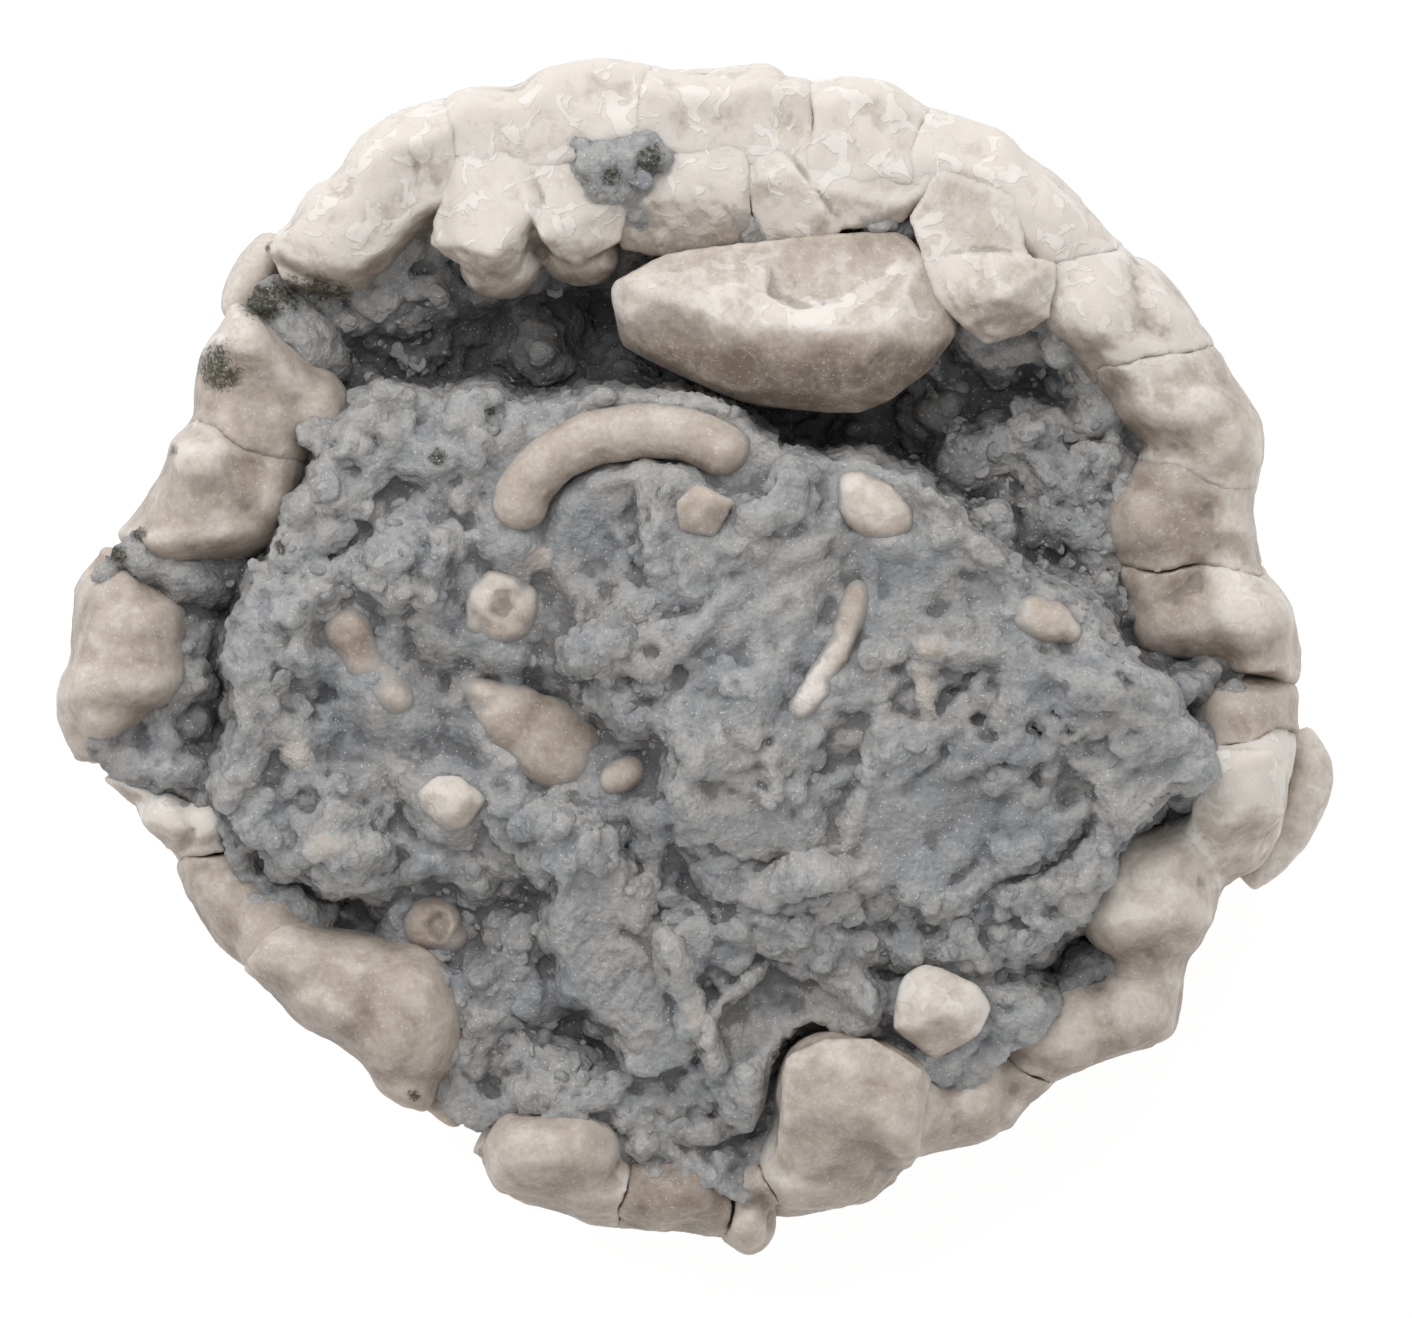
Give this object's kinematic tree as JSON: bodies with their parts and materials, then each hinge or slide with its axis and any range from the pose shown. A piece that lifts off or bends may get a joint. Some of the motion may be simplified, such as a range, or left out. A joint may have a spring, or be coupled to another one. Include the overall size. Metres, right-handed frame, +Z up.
{
  "type": "fossil crinoid cup",
  "caption": "Crushed fossil sea lily cup: swollen calcite plates with tight sutures round a broken fill of grey limestone and small ossicles.",
  "frame": {"origin": "centre of the flat worn face under the cup that it rests on", "axes": "+X to the right of the broken face, +Y to its top, +Z up out of the broken face"},
  "size_m": [0.0452, 0.0422, 0.02],
  "materials": {
    "calcite_plate": "satin, slightly translucent weathered calcite",
    "broken_calcite": "pale broken calcite with small cleavage glints",
    "grey_matrix": "rough, dull fossil-bearing limestone"
  },
  "bodies": {
    "root": {"matrix": "grey_matrix", "rim_plate_01": "calcite_plate", "rim_plate_02": "calcite_plate", "rim_plate_03": "calcite_plate", "rim_plate_04": "calcite_plate", "rim_plate_05": "calcite_plate", "rim_plate_06": "calcite_plate", "rim_plate_07": "calcite_plate", "rim_plate_08": "calcite_plate", "rim_plate_09": "calcite_plate", "rim_plate_10": "calcite_plate", "rim_plate_11": "calcite_plate", "rim_plate_12": "calcite_plate", "rim_plate_13": "calcite_plate", "rim_plate_14": "calcite_plate", "rim_plate_15": "calcite_plate", "rim_plate_16": "calcite_plate", "rim_plate_17": "calcite_plate", "rim_plate_18": "calcite_plate", "rim_plate_19": "calcite_plate", "rim_plate_20": "calcite_plate", "rim_plate_21": "calcite_plate", "rim_plate_22": "calcite_plate", "rim_plate_23": "calcite_plate", "rim_plate_24": "calcite_plate", "lower_plate_01": "calcite_plate", "lower_plate_02": "calcite_plate", "lower_plate_03": "calcite_plate", "lower_plate_04": "calcite_plate", "lower_plate_05": "calcite_plate", "lower_plate_06": "calcite_plate", "lower_plate_07": "calcite_plate", "lower_plate_08": "calcite_plate", "lower_plate_09": "calcite_plate", "lower_plate_10": "calcite_plate", "base_plate": "calcite_plate", "displaced_plate": "broken_calcite", "broken_plate_1": "broken_calcite", "broken_plate_2": "broken_calcite", "broken_plate_3": "broken_calcite", "broken_plate_4": "broken_calcite", "small_block": "calcite_plate", "crescent_ossicle": "calcite_plate", "arm_fragment": "calcite_plate", "rim_splinter": "calcite_plate", "round_ossicle": "calcite_plate", "block_ossicle": "calcite_plate", "spindle_ossicle": "calcite_plate", "lens_ossicle": "calcite_plate", "smooth_plate": "calcite_plate", "diamond_ossicle": "calcite_plate", "pebble_ossicle": "calcite_plate", "spine_left": "calcite_plate", "columnal_left": "calcite_plate", "columnal_lower": "calcite_plate"}
  },
  "joints": []
}
